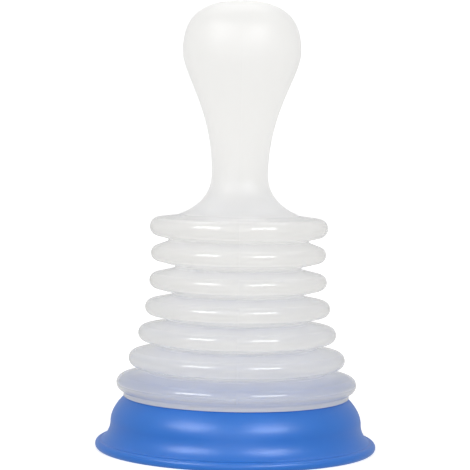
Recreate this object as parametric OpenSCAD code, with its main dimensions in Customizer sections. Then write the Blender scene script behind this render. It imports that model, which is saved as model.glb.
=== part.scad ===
// Bellows hand plunger: a hollow blow-moulded handle and bellows, on a soft sealing cup.
// The origin is the centre of the rim's sealing face. +Z runs up through the handle.

/* [Grip] */
// Radius of the bulb that the palm pushes on
bulb_r = 30.6; // [26:0.1:36]
// Height of the bulb's crown above its widest circle
crown_h = 26.3; // [20:0.1:32]
// Drop from the bulb's widest circle to the narrowest part of the neck
neck_drop = 63; // [50:0.5:80]
// Radius of the neck at its narrowest
neck_r = 14.6; // [11:0.1:18]
// Drop from the narrowest part of the neck to the foot of the shoulder
shoulder_drop = 21.4; // [16:0.1:28]
// Radius at the foot of the shoulder
shoulder_r = 32; // [30:0.1:34]
// Slope of the shoulder at its foot, in degrees
shoulder_slope = 22; // [10:1:26]
// Height of the shoulder's foot above the highest crest
foot_rise = 6.1; // [5.8:0.1:6.6]

/* [Bellows] */
// Wall thickness of the blown handle and bellows
wall = 1.2; // [0.8:0.1:1.5]
// Height of the lowest crest above the sealing face
low_crest_z = 33.9; // [32:0.05:36]
// Distance between the two highest crests
top_pitch = 13.7; // [12.5:0.05:15]
// Distance between the next two crests
main_pitch = 14.15; // [13:0.05:15]
// How much smaller each later pitch is than the one above it
pitch_step = 0.35; // [0:0.01:0.4]
// Radius of the crests at the bellows' waist
waist_r = 45.3; // [44:0.1:47]
// Where the waist is, counted in crests from the top
waist_at = 2.05; // [1:0.05:2.5]
// How fast the crests grow with the square of their distance from the waist
flare_gain = 0.69; // [0.5:0.01:0.75]
// Outside radius of the highest crest, which is plumper than the rest
top_tip_r = 4.9; // [4.2:0.1:5.2]
// Outside radius of each other rounded crest
tip_r = 4.1; // [3.6:0.1:4.6]
// Outside radius of the valley between two crests
root_r = 0.9; // [0.6:0.1:1.2]
// Depth of a valley below the mean of its crests
fold_depth = 12.8; // [11:0.1:15]
// Depth of the highest valley, which is shallower
top_fold_depth = 9.3; // [8:0.1:12]
// Height of the stiff band along each crest
ring_h = 4; // [3:0.1:5]

/* [Socket] */
// Outside radius of the lip that the cup is pushed into
lip_r = 58.5; // [58:0.1:59.5]
// Height of the lip's lower edge above the sealing face
lip_z = 27; // [26.8:0.1:27.6]
// Height of the straight lip
lip_h = 2.2; // [1.6:0.1:2.6]
// Thickness of the lip
lip_t = 2.5; // [2:0.1:2.6]

/* [Cup] */
// Wall thickness of the soft cup
cup_t = 2.6; // [2:0.1:3]
// Outside radius of the rim
rim_r = 72.8; // [71:0.1:76]
// Radius of the bead along the rim
bead_r = 2.4; // [2.2:0.1:2.6]
// Height of the bead's centre, which leaves a flat sealing face under it
bead_z = 2.1; // [1.6:0.1:2.1]
// Where the flare runs into the bead, in degrees up from the bead's outermost point
crease = 104; // [90:1:110]
// Outside radius of the dome where its wall is upright
dome_r = 65; // [63:0.1:66.5]
// Height where the dome's wall is upright
dome_z = 13.9; // [12:0.1:15]
// Top of the stiff band at the rim, where the flexing skirt begins
skirt_z = 6; // [5.6:0.1:6.4]
// Top of the flexing skirt, where the stiffer collar begins
deck_z = 26; // [25:0.1:26.2]

/* [Collar] */
// Outside radius of the collar between its ribs
collar_r = 55.2; // [54:0.1:55.4]
// Top of the collar above the sealing face
collar_top = 35.2; // [35.1:0.1:36.5]
// How far the grip ribs stand out
rib_h = 0.6; // [0.3:0.1:0.7]
// Number of grip ribs round the collar
rib_count = 160; // [60:1:180]
// Outside radius of the bead that snaps in above the socket's lip
snap_r = 57; // [56.4:0.1:57.2]

/* [Hidden] */
$fn = 96;
CRESTS = 7;                       // crests in all, numbered from the top
STEPS = 14;                       // straight steps in each curve
TIP_STEPS = 12;                   // steps round a crest
ROOT_STEPS = 6;                   // steps round a valley
FAR = 300;                        // larger than the whole object
LIP_CORNER = 0.4;                 // width of the bevels on the lip, the collar and its snap bead

MILK = [0.93, 0.94, 0.94];
BLUE = [0.16, 0.40, 0.82];

// ---- curves and arcs, as lists of [radius, height] ----

function bezier(a, b, c, d) = [
    for (i = [0 : STEPS])
        let (t = i / STEPS, s = 1 - t)
        s*s*s*a + 3*s*s*t*b + 3*s*t*t*c + t*t*t*d
];
function arc(centre, r, from, to, steps) = [
    for (i = [0 : steps])
        let (a = from + (to - from) * i / steps)
        centre + r * [cos(a), sin(a)]
];
function tail(list, first = 1) = [for (i = [first : len(list) - 1]) list[i]];
function reversed(list) = [for (i = [len(list) - 1 : -1 : 0]) list[i]];
function heading(v) = atan2(v[1], v[0]);

// Moves a path sideways by t, to the right of its direction of travel
function inset(path, t) = [
    for (i = [0 : len(path) - 1])
        let (
            before = path[max(i - 1, 0)],
            after = path[min(i + 1, len(path) - 1)],
            along = (after - before) / norm(after - before)
        )
        path[i] + t * [along[1], -along[0]]
];

// ---- heights and radii of the crests and valleys ----

function pitch(k) = k == 1 ? top_pitch : main_pitch - (k - 2) * pitch_step;
function crest_z(k) = k == CRESTS ? low_crest_z : crest_z(k + 1) + pitch(k);
function crest_r(k) = waist_r + flare_gain * pow(k - waist_at, 2);
function tip(k) = k == 1 ? top_tip_r : tip_r;
function tip_centre(k) = [crest_r(k) - tip(k), crest_z(k)];
function depth(k) = k == 1 ? top_fold_depth : fold_depth;
function root_centre(k) = [
    (crest_r(k) + crest_r(k + 1)) / 2 - depth(k) + root_r,
    (crest_z(k) + crest_z(k + 1)) / 2
];

// Directions, from the crest's centre, at which its flanks leave it towards the valleys
function flank_angle(k, root, side) =
    let (v = root - tip_centre(k))
    heading(v) + side * acos((tip(k) + root_r) / norm(v));
function upper_flank(k) = flank_angle(k, root_centre(k - 1), -1);
function lower_flank(k) = flank_angle(k, root_centre(k), 1);

// ---- the blown body's wall, at depth t under its outside surface ----

foot_z = crest_z(1) + foot_rise;
neck_z = foot_z + shoulder_drop;
bulb_z = neck_z + neck_drop;
crown_z = bulb_z + crown_h;
foot = [shoulder_r, foot_z];

// How long each end of a curve keeps its own direction, as a share of the size beside it
crown_width = 0.7;                // of the bulb's radius, level over the crown
bulb_above = 0.68;                // of the crown's height, upright above the widest circle
bulb_below = 0.19;                // of the neck's drop, upright below the widest circle
neck_above = 0.52;                // of the neck's drop, upright above the narrowest circle
neck_below = 0.57;                // of the shoulder's drop, upright below the narrowest circle
foot_run = 8.7;                   // length over which the shoulder keeps its slope at the foot

// Bulb, neck and shoulder, from the crown down to the foot of the shoulder
grip_path = concat(
    bezier([0, crown_z], [crown_width * bulb_r, crown_z],
        [bulb_r, bulb_z + bulb_above * crown_h], [bulb_r, bulb_z]),
    tail(bezier([bulb_r, bulb_z], [bulb_r, bulb_z - bulb_below * neck_drop],
        [neck_r, neck_z + neck_above * neck_drop], [neck_r, neck_z])),
    tail(bezier([neck_r, neck_z], [neck_r, neck_z - neck_below * shoulder_drop],
        foot + foot_run * [-cos(shoulder_slope), sin(shoulder_slope)], foot))
);
// Direction at which the top of the first crest leaves it towards the shoulder
top_flank = heading(foot - tip_centre(1)) - acos(tip(1) / norm(foot - tip_centre(1)));
lip_turn = -50;                   // direction at which the lowest crest's arc ends above the lip

function crest_arc(k, t) = arc(
    tip_centre(k), tip(k) - t,
    k == 1 ? top_flank : upper_flank(k),
    k == CRESTS ? lip_turn : lower_flank(k),
    TIP_STEPS
);
function valley_arc(k, t) = arc(
    root_centre(k), root_r + t,
    lower_flank(k) + 180, upper_flank(k + 1) + 180,
    ROOT_STEPS
);
function bellows_path(t) = [
    for (k = [1 : CRESTS])
        for (p = concat(crest_arc(k, t), k < CRESTS ? valley_arc(k, t) : [])) p
];
// The lip, whose inner face is upright so that the cup's collar can enter it
lip_top = lip_z + 2 * lip_h;
lip_outside = [
    [lip_r, lip_z + lip_h],
    [lip_r, lip_z + LIP_CORNER],
    [lip_r - LIP_CORNER, lip_z]
];
lip_inside = [
    [lip_r - lip_t + LIP_CORNER, lip_z],
    [lip_r - lip_t, lip_z + LIP_CORNER],
    [lip_r - lip_t, lip_top]
];

module body_section() {
    polygon(concat(
        grip_path,
        bellows_path(0),
        lip_outside,
        lip_inside,
        reversed(bellows_path(wall)),
        reversed(inset(grip_path, wall))
    ));
}

// ---- the soft cup's wall ----

deck_edge = 0.3;                  // how far the deck's edge stands out beyond the lip
dome_top = [lip_r + deck_edge, deck_z];
deck_slope = 44;                  // of the dome where it leaves the deck
flare_slope = 30;                 // of the flare where it meets the bead
deck_run = 5;                     // lengths over which the wall keeps each of its directions
dome_above = 4.2;
dome_below = 4;
flare_run = 3;
bead_gap = 0.2;                   // between the bead and the end of the wall's inner face
bead_centre = [rim_r - bead_r, bead_z];
flare_end = bead_centre + bead_r * [cos(crease), sin(crease)];

// From the edge of the deck, over the dome and out along the flare
skirt_path = concat(
    bezier(dome_top, dome_top + deck_run * [cos(deck_slope), -sin(deck_slope)],
        [dome_r, dome_z + dome_above], [dome_r, dome_z]),
    tail(bezier([dome_r, dome_z], [dome_r, dome_z - dome_below],
        flare_end + flare_run * [-cos(flare_slope), sin(flare_slope)], flare_end))
);

// The same wall's inner face, as far as the bead
skirt_inside = [
    for (p = inset(skirt_path, cup_t))
        if (norm(p - bead_centre) > bead_r + bead_gap) p
];
bead_foot = asin(bead_z / bead_r);
bead_root = heading(skirt_inside[len(skirt_inside) - 1] - bead_centre) - 360;

module cup_section() {
    polygon(concat(
        [[collar_r - cup_t, deck_z]],
        skirt_path,
        arc(bead_centre, bead_r, crease, -bead_foot, TIP_STEPS),
        arc(bead_centre, bead_r, bead_foot - 180, bead_root, TIP_STEPS),
        reversed(skirt_inside),
        [[collar_r - cup_t, deck_z - cup_t]]
    ));
}

// The band of a section between two heights, turned round the axis
module turned_band(low, high) {
    rotate_extrude()
        intersection() {
            children();
            translate([0, low])
                square([FAR, high - low]);
        }
}

// ---- the pieces ----

// Bulb, neck, shoulder and the top of the bellows, down to the first crest's lower edge
module handle() {
    color(MILK)
        turned_band(crest_z(1) - ring_h / 2, FAR)
            body_section();
}

// Stiff rounded band along a crest
module crest_ring(k) {
    color(MILK)
        turned_band(crest_z(k) - ring_h / 2, crest_z(k) + ring_h / 2)
            body_section();
}

// Flexing wall between two crests, with the valley at its middle
module fold_web(k) {
    color(MILK)
        turned_band(crest_z(k + 1) + ring_h / 2, crest_z(k) - ring_h / 2)
            body_section();
}

// Lowest crest and the lip that holds the cup
module socket_ring() {
    color(MILK)
        turned_band(0, crest_z(CRESTS) + ring_h / 2)
            body_section();
}

// Upright ribs round the collar, as a star-shaped outline
module ribbed_disc() {
    rib_step = 180 / rib_count;
    polygon([
        for (i = [0 : 2 * rib_count - 1])
            (collar_r + (i % 2) * rib_h) * [cos(i * rib_step), sin(i * rib_step)]
    ]);
}

// Bead that snaps in above the lip: steep below, sloping above so that the cup pushes in easily
module snap_bead() {
    snap_low = lip_top + 0.6;         // leaves the lip a little play
    snap_face = 0.6;                  // height of the bead's outermost face
    snap_ramp = 2;                    // height of the slope above it
    inner = collar_r - 1;             // buried in the collar
    rotate_extrude()
        polygon([
            [inner, snap_low],
            [snap_r - LIP_CORNER, snap_low],
            [snap_r, snap_low + LIP_CORNER],
            [snap_r, snap_low + LIP_CORNER + snap_face],
            [inner, snap_low + LIP_CORNER + snap_face + snap_ramp]
        ]);
}

// Ribbed collar with its snap bead, pushed up inside the socket
module cup_collar() {
    collar_h = collar_top - deck_z;
    color(BLUE) {
        difference() {
            translate([0, 0, deck_z])
                linear_extrude(collar_h)
                    ribbed_disc();
            translate([0, 0, deck_z - 1])
                cylinder(h = collar_h + 2, r = collar_r - cup_t);
        }
        snap_bead();
    }
}

// Dome and flare of the cup, which give when the plunger is pushed
module cup_skirt() {
    color(BLUE)
        turned_band(skirt_z, FAR)
            cup_section();
}

// Beaded rim with the flat sealing face
module cup_rim() {
    color(BLUE)
        turned_band(0, skirt_z)
            cup_section();
}

handle();
fold_web(1);  // fold_web_1
fold_web(2);  // fold_web_2
fold_web(3);  // fold_web_3
fold_web(4);  // fold_web_4
fold_web(5);  // fold_web_5
fold_web(6);  // fold_web_6
crest_ring(2);  // crest_ring_2
crest_ring(3);  // crest_ring_3
crest_ring(4);  // crest_ring_4
crest_ring(5);  // crest_ring_5
crest_ring(6);  // crest_ring_6
socket_ring();
cup_collar();
cup_skirt();
cup_rim();
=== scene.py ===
"""Looks of the bellows hand plunger: a milky blown body on a soft blue cup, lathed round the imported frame.

Outlines are lists of (radius, height) in millimetres. Meshes and lights are in metres.
"""

import math

import bpy
import numpy as np
from mathutils import Matrix, Vector


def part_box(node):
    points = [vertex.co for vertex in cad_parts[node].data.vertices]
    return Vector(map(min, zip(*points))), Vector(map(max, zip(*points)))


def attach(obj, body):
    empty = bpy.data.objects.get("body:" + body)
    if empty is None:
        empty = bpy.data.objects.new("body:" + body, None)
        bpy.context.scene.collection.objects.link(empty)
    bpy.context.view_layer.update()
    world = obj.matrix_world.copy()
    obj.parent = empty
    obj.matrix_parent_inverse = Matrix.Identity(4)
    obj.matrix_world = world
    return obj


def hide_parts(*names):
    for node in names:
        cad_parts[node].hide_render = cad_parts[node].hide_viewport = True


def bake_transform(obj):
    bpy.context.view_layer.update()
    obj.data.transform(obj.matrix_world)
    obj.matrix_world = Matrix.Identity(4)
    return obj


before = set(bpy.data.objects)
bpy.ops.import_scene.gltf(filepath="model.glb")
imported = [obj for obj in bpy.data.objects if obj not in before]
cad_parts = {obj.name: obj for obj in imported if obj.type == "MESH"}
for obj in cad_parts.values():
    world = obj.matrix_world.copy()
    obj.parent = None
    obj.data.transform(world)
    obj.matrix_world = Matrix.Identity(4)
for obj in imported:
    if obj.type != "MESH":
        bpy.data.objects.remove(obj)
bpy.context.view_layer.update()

MM = 0.001
FRONT, BACK = -90.0, 90.0          # azimuths of the mould's two parting lines, in degrees
LINE_WIDTH = 0.35                  # how wide a parting line is, in degrees
CRESTS = 7                         # bellows crests, numbered from the top


# ---------------------------------------------------------------- what the frame says

def node_box(node):
    """(lowest, highest) corner of a CAD node, in mm."""
    low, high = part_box(node)
    return low / MM, high / MM


def innermost(node):
    """Smallest distance of a CAD node from the axis, in mm."""
    return min(math.hypot(v.co.x, v.co.y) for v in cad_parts[node].data.vertices) / MM


WALL = 1.2                         # the blown body
CUP_WALL = 2.6
LIP_R, COLLAR_R = 58.5, 55.2       # outside radii of the socket's lip and of the cup's collar
LIP_WALL = 2.5
SHELF_RISE = 4.4                   # from the lip's foot up to where the socket's wall closes in over it
DECK_SLOPE = 44                    # how steeply the cup's dome leaves its deck, in degrees
TIP, TOP_TIP, ROOT = 4.1, 4.9, 0.9  # outside radii of the crests, the top crest and the valleys
TIP_STEPS, VALLEY_STEPS = 14, 10   # straight pieces in a crest's arc and in a valley's
SKIN = 0.03                        # the looks stay this far inside the CAD's widest circles
ring_low, ring_high = node_box("crest_ring_2")
HALF_RING = (ring_high.z - ring_low.z) / 2
handle_low, handle_high = node_box("handle")
socket_low, socket_high = node_box("socket_ring")
skirt_low, skirt_high = node_box("cup_skirt")
collar_high = node_box("cup_collar")[1]
rim_high = node_box("cup_rim")[1]


def crest(k):
    """(radius, height) of crest k's outermost circle."""
    if k == 1:
        return handle_high.x, handle_low.z + HALF_RING
    if k == CRESTS:
        return socket_high.x, socket_high.z - HALF_RING
    low, high = node_box(f"crest_ring_{k}")
    return high.x, (low.z + high.z) / 2


# ---------------------------------------------------------------- outlines

def polar(radius, degrees):
    angle = math.radians(degrees)
    return np.array([radius * math.cos(angle), radius * math.sin(angle)])


def arc(centre, radius, start, stop, steps):
    return [centre + polar(radius, start + (stop - start) * i / steps) for i in range(steps + 1)]


def bezier(a, b, c, d, steps):
    a, b, c, d = (np.array(p, float) for p in (a, b, c, d))
    path = []
    for i in range(steps + 1):
        t = i / steps
        s = 1 - t
        path.append(s**3 * a + 3 * s * s * t * b + 3 * s * t * t * c + t**3 * d)
    return path


def heading(v):
    return math.degrees(math.atan2(v[1], v[0]))


def inset(path, distance):
    """The path moved sideways by distance, to the right of its direction of travel."""
    moved = []
    for i, point in enumerate(path):
        along = path[min(i + 1, len(path) - 1)] - path[max(i - 1, 0)]
        along = along / np.linalg.norm(along)
        moved.append(point + distance * np.array([along[1], -along[0]]))
    return moved


def tip_radius(k):
    return TOP_TIP if k == 1 else TIP


def tip_centre(k):
    radius, height = crest(k)
    return np.array([radius - tip_radius(k), height])


def valley_centre(k):
    """Centre of the rounded valley between crests k and k + 1."""
    radius = innermost(f"fold_web_{k}") + WALL + ROOT
    return np.array([radius, (crest(k)[1] + crest(k + 1)[1]) / 2])


def flank_angle(k, valley, side):
    """Direction from crest k's centre at which its flank leaves it towards a valley."""
    v = valley_centre(valley) - tip_centre(k)
    return heading(v) + side * math.degrees(math.acos((tip_radius(k) + ROOT) / np.linalg.norm(v)))


def fold_path(k, depth):
    """From crest k's plane down to crest k + 1's plane, at that depth under the outside."""
    down = flank_angle(k, k, 1)
    up = flank_angle(k + 1, k, -1)
    return (
        arc(tip_centre(k), tip_radius(k) - depth, 0, down, TIP_STEPS)
        + arc(valley_centre(k), ROOT + depth, down + 180, up + 180, VALLEY_STEPS)
        + arc(tip_centre(k + 1), TIP - depth, up, 0, TIP_STEPS)
    )


def grip_path():
    """Bulb, neck and shoulder, from the crown down to the shoulder's foot."""
    crown_z, bulb_r, neck_r = handle_high.z, 30.6, 14.6
    bulb_z = crown_z - 26.3
    neck_z = bulb_z - 63.0
    crown, bulb, neck = (0, crown_z), (bulb_r, bulb_z), (neck_r, neck_z)
    foot = np.array([32.0, crest(1)[1] + 6.1])
    # How far the curves run on past each point in its own direction.
    crown_out, bulb_up, bulb_down = 0.7 * bulb_r, 17.9, 12.0
    neck_up, neck_down, foot_up = 32.8, 12.2, polar(8.7, 158)
    return (
        bezier(crown, (crown_out, crown_z), (bulb_r, bulb_z + bulb_up), bulb, steps=40)
        + bezier(bulb, (bulb_r, bulb_z - bulb_down), (neck_r, neck_z + neck_up), neck, steps=40)[1:]
        + bezier(neck, (neck_r, neck_z - neck_down), foot + foot_up, foot, steps=30)[1:]
    )


def handle_outline():
    """The grip and the upper side of crest 1: the outside, and the inside with the crown closed."""
    grip = grip_path()
    v = grip[-1] - tip_centre(1)
    flank = heading(v) - math.degrees(math.acos(TOP_TIP / np.linalg.norm(v)))
    outside = grip + arc(tip_centre(1), TOP_TIP, flank, 0, TIP_STEPS)
    inside = inset(grip, WALL) + arc(tip_centre(1), TOP_TIP - WALL, flank, 0, TIP_STEPS)
    inside[0] = np.array([0.0, grip[0][1] - WALL])
    return outside, inside


def socket_outline():
    """The lower side of crest 7 and the lip under it, down to the lip's rounded foot."""
    centre, turn, turn_steps = tip_centre(CRESTS), -50, 10
    foot, edge, edge_steps = socket_low.z, 0.5, 5
    side_top, side_pull = foot + 1.8, foot + 2.7      # where the lip's side starts, and its handle
    rounded = arc(centre, TIP, 0, turn, turn_steps)
    leave = rounded[-1]
    outside = (
        rounded
        + bezier(leave, leave + polar(1.3, -140), (LIP_R, side_pull), (LIP_R, side_top), steps=8)[1:]
        + arc(np.array([LIP_R - edge, foot + edge]), edge, 0, -90, edge_steps)
        + arc(np.array([LIP_R - LIP_WALL + edge, foot + edge]), edge, -90, -180, edge_steps)
    )
    closes_in = np.array([LIP_R - LIP_WALL, foot + SHELF_RISE])
    return outside, arc(centre, TIP - WALL, 0, turn, turn_steps) + [closes_in]


def deck_top():
    """Height of the cup's deck, which the lip rests on."""
    return socket_low.z - SKIN


def deck_edge():
    """Where the deck ends, just outside the lip, and the dome begins."""
    return np.array([LIP_R + 0.3, skirt_high.z])


def deck_path():
    """From inside the collar's foot out under the lip, to just before the deck's edge."""
    tuck, flat_end, curl_pull = 0.4, 1.5, 0.7
    seat, edge = deck_top(), deck_edge()
    before_edge = edge + polar(curl_pull, 180 - DECK_SLOPE)
    curl = bezier((LIP_R - flat_end, seat), (LIP_R - curl_pull, seat), before_edge, edge, steps=6)
    return [np.array([COLLAR_R - tuck, seat])] + curl[:-1]


def skirt_path(flare_end):
    """The cup's dome and flare, from the deck's edge down to where the flare meets the bead."""
    dome_r, dome_z = 65.0, 13.9
    edge, dome = deck_edge(), (dome_r, dome_z)
    # How far the curves run on past each point in its own direction.
    edge_out, dome_up, dome_down, flare_in = polar(5, -DECK_SLOPE), 4.2, 4, polar(3, 150)
    return (
        bezier(edge, edge + edge_out, (dome_r, dome_z + dome_up), dome, steps=28)
        + bezier(dome, (dome_r, dome_z - dome_down), flare_end + flare_in, flare_end, steps=24)[1:]
    )


def cup_outline():
    """The cup's deck, dome, flare and bead, from the collar's outside round to its inside."""
    bead_r, bead_z = 2.4, 2.1
    bead = np.array([rim_high.x - bead_r, bead_z])
    meet = 104.0                   # where the flare runs into the bead, leaving a fine crease
    clear_of_bead = bead_r + 0.2   # the inside stops here, short of the bead
    skirt = skirt_path(bead + polar(bead_r, meet))
    under = [p for p in inset(skirt, CUP_WALL) if np.linalg.norm(p - bead) > clear_of_bead]
    sealing_face = math.degrees(math.asin(bead_z / bead_r))
    root = heading(under[-1] - bead) - 360
    outside = (
        deck_path()
        + skirt
        + arc(bead, bead_r, meet, -sealing_face, 20)[1:]
        + arc(bead, bead_r, sealing_face - 180, root, 14)
    )
    bore = COLLAR_R - CUP_WALL
    return outside, [np.array([bore, deck_top()]), np.array([bore, skirt_high.z - CUP_WALL])] + under


# ---------------------------------------------------------------- lathed meshes

def apart(a, b):
    """The angle between two azimuths, in degrees."""
    return abs((a - b + 180) % 360 - 180)


def even_columns(count):
    return [360 * i / count for i in range(count)]


def body_columns():
    """Azimuths round the body, closer together at the two parting lines."""
    count, clear_of_line = 180, 0.3
    step = 360 / count
    even = [FRONT + step * (i + 0.5) for i in range(count)]
    fine = [line + LINE_WIDTH * s for line in (FRONT, BACK) for s in (-1.5, -0.75, 0, 0.75, 1.5)]
    kept = [a for a in even if all(apart(a, f) > clear_of_line for f in fine)]
    return sorted(a % 360 for a in kept + fine)


def parting_ridge(azimuth):
    """How far the flash line left by the mould stands out at an azimuth, in mm."""
    height = 0.12
    off = min(apart(azimuth, line) for line in (FRONT, BACK))
    return height * math.exp(-(off / LINE_WIDTH) ** 2)


def add_object(name, data):
    made = bpy.data.objects.new(name, data)
    bpy.context.scene.collection.objects.link(made)
    return made


def ring_corners(radius, height, columns, swell):
    """One ring's corners in metres, moved out by swell(azimuth, radius, height) where it is given."""
    corners = []
    for azimuth in columns:
        r = radius + (swell(azimuth, radius, height) if swell else 0)
        a = math.radians(azimuth)
        corners.append((r * math.cos(a) * MM, r * math.sin(a) * MM, height * MM))
    return corners


def ring_faces(upper, lower):
    """Faces between two rings of corner numbers. A ring that is one point makes triangles."""
    faces = []
    for i in range(len(upper)):
        j = (i + 1) % len(upper)
        quad = [upper[i], lower[i], lower[j], upper[j]]
        face = [v for n, v in enumerate(quad) if v != quad[n - 1]]
        if len(face) > 2:
            faces.append(face)
    return faces


def lathe(name, outside, inside, columns, swell):
    """A closed shell turned round Z. swell(azimuth, radius, height) moves the outside out, in mm.

    Paths that start on the axis are closed there by a fan; the others are joined by a flat ring."""
    on_axis, sharp_edge = 1e-9, 50
    loop = list(outside) + list(inside)[::-1]
    vertices, rings = [], []
    for n, (radius, height) in enumerate(loop):
        if abs(radius) < on_axis:
            rings.append([len(vertices)] * len(columns))
            vertices.append((0, 0, height * MM))
            continue
        rings.append(list(range(len(vertices), len(vertices) + len(columns))))
        vertices += ring_corners(radius, height, columns, swell if n < len(outside) else None)
    after = rings[1:] if abs(loop[0][0]) < on_axis else rings[1:] + rings[:1]
    faces = [face for upper, lower in zip(rings, after) for face in ring_faces(upper, lower)]
    mesh = bpy.data.meshes.new(name)
    mesh.from_pydata(vertices, [], faces)
    mesh.validate()
    mesh.shade_smooth()
    mesh.set_sharp_from_angle(angle=math.radians(sharp_edge))
    return add_object(name, mesh)


def ribbed_collar():
    """The cup's collar, with fine upright grip ribs and the snap bead above the lip."""
    ribs, per_rib, rib_height = 160, 6, 0.55
    top, foot, chamfer = collar_high.z, deck_top(), 0.4
    shelf = socket_low.z + SHELF_RISE
    rib_foot, rib_top = foot + 2, top - 0.5
    bead = [(0, 2.9), (1.8, 1.6), (1.8, 1.0), (1.4, 0.6), (0, 0.5)]   # (outwards, above the shelf)

    def ribs_out(azimuth, radius, height):
        if not rib_foot <= height <= rib_top:
            return 0
        wave = 0.5 + 0.5 * math.cos(math.radians(azimuth * ribs))
        return rib_height * wave * wave
    outside = (
        [(COLLAR_R - chamfer, top), (COLLAR_R, top - chamfer)]
        + [(COLLAR_R + out, shelf + up) for out, up in bead]
        + [(COLLAR_R, rib_foot), (COLLAR_R, foot)]
    )
    inside = [(COLLAR_R - CUP_WALL, top), (COLLAR_R - CUP_WALL, foot)]
    return lathe("cup_collar_ribs", outside, inside, even_columns(ribs * per_rib), ribs_out)


# ---------------------------------------------------------------- materials

def new_material(name):
    material = bpy.data.materials.new(name)
    material.use_nodes = True
    nodes = material.node_tree.nodes
    return material, nodes, material.node_tree.links, nodes["Principled BSDF"]


def add(nodes, kind, **values):
    """A node with its inputs or properties set by name."""
    made = nodes.new(kind)
    for key, value in values.items():
        if key in made.inputs:
            made.inputs[key].default_value = value
        else:
            setattr(made, key, value)
    return made


def noise(nodes, links, place, scale, detail):
    made = add(nodes, "ShaderNodeTexNoise", Scale=scale, Detail=detail)
    links.new(place.outputs["Object"], made.inputs["Vector"])
    return made.outputs["Fac"]


def relief(nodes, links, place, scale, detail, height, strength, under=None):
    """A normal roughened by noise that is height metres deep, on top of another where given."""
    made = add(nodes, "ShaderNodeBump", Strength=strength, Distance=height)
    links.new(noise(nodes, links, place, scale, detail), made.inputs["Height"])
    if under:
        links.new(under, made.inputs["Normal"])
    return made.outputs["Normal"]


def cloudy(nodes, links, place, scale, first, second):
    """A colour that drifts between two tones."""
    tint = add(nodes, "ShaderNodeValToRGB")
    tint.color_ramp.elements[0].color = first
    tint.color_ramp.elements[1].color = second
    links.new(noise(nodes, links, place, scale, 3.0), tint.inputs["Fac"])
    return tint.outputs["Color"]


def mix(nodes, links, share, first, second):
    """Two shaders mixed. share, a number or an output, says how much of the second one shows."""
    mixer = nodes.new("ShaderNodeMixShader")
    if isinstance(share, float):
        mixer.inputs["Fac"].default_value = share
    else:
        links.new(share, mixer.inputs["Fac"])
    links.new(first, mixer.inputs[1])
    links.new(second, mixer.inputs[2])
    return mixer.outputs["Shader"]


def by_height(nodes, links, place, low, high, at_low, at_high):
    """A value that changes evenly from at_low to at_high between two heights, given in mm."""
    settings = {"From Min": low * MM, "From Max": high * MM, "To Min": at_low, "To Max": at_high}
    split = add(nodes, "ShaderNodeSeparateXYZ")
    rise = add(nodes, "ShaderNodeMapRange", **settings)
    links.new(place.outputs["Object"], split.inputs["Vector"])
    links.new(split.outputs["Z"], rise.inputs["Value"])
    return rise.outputs["Result"]


def clear_by_height(nodes, links, place, clear, clear_at_ribs):
    """The socket wall's clear share: low at the thick lip, highest across the collar's ribs."""
    lip_end, ribs_start, ribs_end, crest_start = 0.40, 0.56, 0.78, 0.94   # shares of the height
    height = by_height(nodes, links, place, socket_low.z, collar_high.z + 1, 0, 1)
    band = add(nodes, "ShaderNodeValToRGB")
    stops = band.color_ramp.elements
    stops[0].position, stops[1].position = lip_end, crest_start
    stops[0].color = stops[1].color = (clear, clear, clear, 1)
    for position in (ribs_start, ribs_end):
        stops.new(position).color = (clear_at_ribs, clear_at_ribs, clear_at_ribs, 1)
    links.new(height, band.inputs["Fac"])
    return band.outputs["Color"]


def milk(nodes, links, place, shader, glow_share, waves, grain):
    """Matt off-white, of which glow_share lets light through."""
    cream, white = (0.968, 0.966, 0.958, 1), (0.986, 0.984, 0.977, 1)
    links.new(cloudy(nodes, links, place, 60.0, cream, white), shader.inputs["Base Color"])
    links.new(grain, shader.inputs["Normal"])
    shader.inputs["Roughness"].default_value = 0.3
    shader.inputs["Specular IOR Level"].default_value = 0.0
    glow = add(nodes, "ShaderNodeBsdfTranslucent", Color=white)
    links.new(waves, glow.inputs["Normal"])
    return mix(nodes, links, glow_share, shader.outputs["BSDF"], glow.outputs["BSDF"])


def glossed(nodes, links, place, wall, grain):
    """The wall with reflections on its outer side, polished on the folds and satin on the grip."""
    polished, satin = 0.13, 0.46
    folds_end, grip_start = crest(1)[1] + 2, crest(1)[1] + 12
    gloss = add(nodes, "ShaderNodeBsdfGlossy", Color=(1, 1, 1, 1))
    rim = add(nodes, "ShaderNodeFresnel", IOR=1.45)
    side = add(nodes, "ShaderNodeNewGeometry")
    front = add(nodes, "ShaderNodeMath", operation="SUBTRACT", use_clamp=True)
    roughness = by_height(nodes, links, place, folds_end, grip_start, polished, satin)
    links.new(roughness, gloss.inputs["Roughness"])
    links.new(rim.outputs["Fac"], front.inputs[0])
    links.new(side.outputs["Backfacing"], front.inputs[1])
    links.new(grain, gloss.inputs["Normal"])
    links.new(grain, rim.inputs["Normal"])
    return mix(nodes, links, front.outputs["Value"], wall, gloss.outputs["BSDF"])


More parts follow.
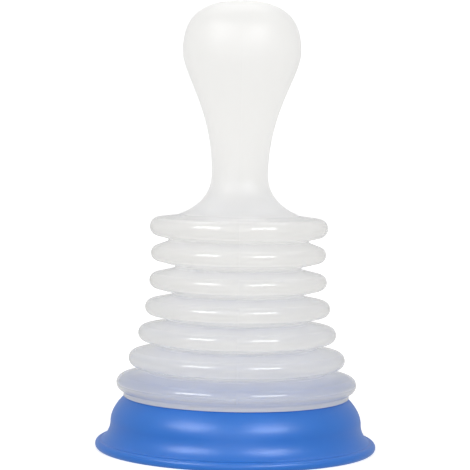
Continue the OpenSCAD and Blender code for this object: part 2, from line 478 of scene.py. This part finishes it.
def milky_plastic(name, glow_share, clear, clear_at_ribs=None):
    """Blown polyethylene with slow waves in its wall.

    clear is the share of the wall that is seen straight through, and clear_at_ribs, where given, that
    share across the collar's ribs."""
    material, nodes, links, shader = new_material(name)
    place = add(nodes, "ShaderNodeTexCoord")
    waves = relief(nodes, links, place, scale=38.0, detail=1.5, height=0.00012, strength=0.35)
    grain = relief(nodes, links, place, 900.0, detail=3.0, height=0.00003, strength=0.5, under=waves)
    milky = milk(nodes, links, place, shader, glow_share, waves, grain)
    through = add(nodes, "ShaderNodeBsdfTransparent", Color=(1, 1, 1, 1))
    share = clear_by_height(nodes, links, place, clear, clear_at_ribs) if clear_at_ribs else clear
    wall = mix(nodes, links, share, milky, through.outputs["BSDF"])
    depth = add(nodes, "ShaderNodeVolumeAbsorption", Color=(0.5, 0.5, 0.5, 1), Density=8.0)
    output = nodes["Material Output"]
    links.new(glossed(nodes, links, place, wall, grain), output.inputs["Surface"])
    links.new(depth.outputs["Volume"], output.inputs["Volume"])
    return material


def soft_blue():
    """Satin blue elastomer with a faint moulded grain."""
    material, nodes, links, shader = new_material("soft_blue_cup")
    place = add(nodes, "ShaderNodeTexCoord")
    waves = relief(nodes, links, place, scale=50.0, detail=1.0, height=0.0004, strength=0.4)
    grain = relief(nodes, links, place, 1400.0, detail=3.0, height=0.00004, strength=0.6, under=waves)
    deep, light = (0.015, 0.160, 0.600, 1), (0.020, 0.185, 0.680, 1)
    links.new(cloudy(nodes, links, place, 45.0, deep, light), shader.inputs["Base Color"])
    links.new(grain, shader.inputs["Normal"])
    shader.inputs["Roughness"].default_value = 0.36
    shader.inputs["Subsurface Weight"].default_value = 0.15
    shader.inputs["Subsurface Radius"].default_value = (0.3, 0.6, 1.0)
    shader.inputs["Subsurface Scale"].default_value = 0.002
    return material


# ---------------------------------------------------------------- the object

def dress(piece, material, slot, *nodes):
    """Gives a piece its material and hides the CAD nodes that it stands for. slot is not used."""
    piece.data.materials.append(material)
    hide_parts(*nodes)
    return piece


def make_body():
    """The handle, six folds, each from one crest to the next, and the socket."""
    milk_white = milky_plastic("milky_polyethylene", glow_share=0.84, clear=0.26)
    window = milky_plastic("socket_polyethylene", glow_share=0.40, clear=0.18, clear_at_ribs=0.48)
    columns = body_columns()

    def ridge(azimuth, radius, height):
        return parting_ridge(azimuth) * (radius / socket_high.x) ** 2 - SKIN
    handle = lathe("handle_shell", *handle_outline(), columns, ridge)
    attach(dress(handle, milk_white, "milky_body", "handle"), "grip")
    for k in range(1, CRESTS):
        held = [f"fold_web_{k}"] + ([] if k == CRESTS - 1 else [f"crest_ring_{k + 1}"])
        fold = lathe(f"bellows_fold_{k}", fold_path(k, 0), fold_path(k, WALL), columns, ridge)
        dress(fold, milk_white, "milky_body", *held)
        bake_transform(fold)
    socket = lathe("socket_shell", *socket_outline(), columns, ridge)
    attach(dress(socket, window, "milky_body", "socket_ring"), "socket")


def make_cup():
    """The ribbed collar, and the soft cup between its rim and the socket."""
    blue = soft_blue()
    collar = ribbed_collar()
    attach(dress(collar, blue, "soft_cup", "cup_collar"), "socket")
    cup = lathe("cup_shell", *cup_outline(), even_columns(192), lambda azimuth, radius, height: -SKIN)
    dress(cup, blue, "soft_cup", "cup_skirt", "cup_rim")
    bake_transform(cup)


# ---------------------------------------------------------------- the studio

def glowing_white(name, grey, roughness, glow):
    """A plain surface that gives off white light of its own."""
    material, _, _, shader = new_material(name)
    shader.inputs["Base Color"].default_value = (grey, grey, grey, 1)
    shader.inputs["Roughness"].default_value = roughness
    shader.inputs["Specular IOR Level"].default_value = 0.0
    shader.inputs["Emission Color"].default_value = (1, 1, 1, 1)
    shader.inputs["Emission Strength"].default_value = glow
    return material


def sheet(name, corners, panels, material):
    """A surface that is seen but throws no light on the object, like a sweep lit for itself."""
    mesh = bpy.data.meshes.new(name)
    mesh.from_pydata(corners, [], panels)
    mesh.materials.append(material)
    made = add_object(name, mesh)
    made.visible_diffuse = False
    made.visible_glossy = False
    return made


def make_floor():
    half = 6.0
    corners = [(-half, -half, 0), (half, -half, 0), (half, half, 0), (-half, half, 0)]
    white = glowing_white("pale_floor", grey=0.60, roughness=0.8, glow=0.68)
    floor = sheet("floor", corners, [(0, 1, 2, 3)], white)


def make_backdrop():
    """A round white wall, so that every side view has the same plain background."""
    away, top, steps = 3.0, 1.6, 64
    turns = [2 * math.pi * i / steps for i in range(steps)]
    corners = [(away * math.cos(t), away * math.sin(t), z) for z in (0, top) for t in turns]
    panels = [(i, (i + 1) % steps, steps + (i + 1) % steps, steps + i) for i in range(steps)]
    white = glowing_white("lit_backdrop", grey=0.35, roughness=0.5, glow=0.95)
    backdrop = sheet("backdrop", corners, panels, white)


def softbox(name, azimuth, elevation, distance, width, height, power):
    """A soft light that looks at the bellows. Azimuth 0 is the camera's side, positive to the right."""
    light = bpy.data.lights.new(name, "AREA")
    light.shape = "RECTANGLE"
    light.size, light.size_y, light.energy = width, height, power
    lamp = add_object(name, light)
    a, e = math.radians(azimuth), math.radians(elevation)
    out = Vector((math.sin(a) * math.cos(e), -math.cos(a) * math.cos(e), math.sin(e)))
    bellows_middle = Vector((0, 0, 0.09))
    lamp.location = bellows_middle + out * distance
    lamp.rotation_euler = (-out).to_track_quat("-Z", "Y").to_euler()
    return lamp


def reflected_only(lamp):
    """The lamp makes reflections in the gloss, but doesn't light the surfaces."""
    lamp.visible_diffuse = False
    lamp.visible_transmission = False


def make_world():
    world = bpy.data.worlds.new("studio")
    world.use_nodes = True
    world.node_tree.nodes["Background"].inputs["Color"].default_value = (1, 1, 1, 1)
    world.node_tree.nodes["Background"].inputs["Strength"].default_value = 0.63
    bpy.context.scene.world = world


def make_lights():
    """Each light has its azimuth, elevation, distance, width, height and power in that order."""
    left, right, behind = -45, 34, 180
    for name, side in {"streak_left": left, "streak_right": right}.items():
        reflected_only(softbox(name, side, 36, 1.1, 0.60, 0.40, 5.2))
    reflected_only(softbox("strip_top", behind, 72, 1.2, 1.2, 0.40, 4.0))
    softbox("softbox_left", left, 30, 1.1, 0.60, 0.12, 1.8)
    softbox("softbox_right", right, 30, 1.1, 0.56, 0.12, 1.6)
    softbox("front_fill", 0, 8, 2.2, 2.0, 2.0, 9.0)
    softbox("ceiling", 0, 90, 2.6, 5.0, 5.0, 3.0)


def set_light_paths():
    """Enough bounces for light to cross the many walls of the folds, and plain tones."""
    bpy.context.scene.cycles.max_bounces = 24
    bpy.context.scene.cycles.diffuse_bounces = 16
    bpy.context.scene.cycles.transmission_bounces = 24
    bpy.context.scene.view_settings.view_transform = "Standard"


def make_camera():
    """A long lens a metre away that looks three degrees down, rolled by one degree."""
    data = bpy.data.cameras.new("camera")
    data.lens, data.sensor_width = 145.3, 36.0
    camera = add_object("camera", data)
    pitch, roll = math.radians(3.08), math.radians(1.0)
    place = (-0.0020, -0.980, 0.1635)
    forward = Vector((0, math.cos(pitch), -math.sin(pitch)))
    turn = forward.to_track_quat("-Z", "Y").to_matrix().to_4x4() @ Matrix.Rotation(roll, 4, "Z")
    camera.matrix_world = Matrix.Translation(place) @ turn
    bpy.context.scene.camera = camera


make_camera()
make_body()
make_cup()
make_floor()
make_backdrop()
make_world()
make_lights()
set_light_paths()
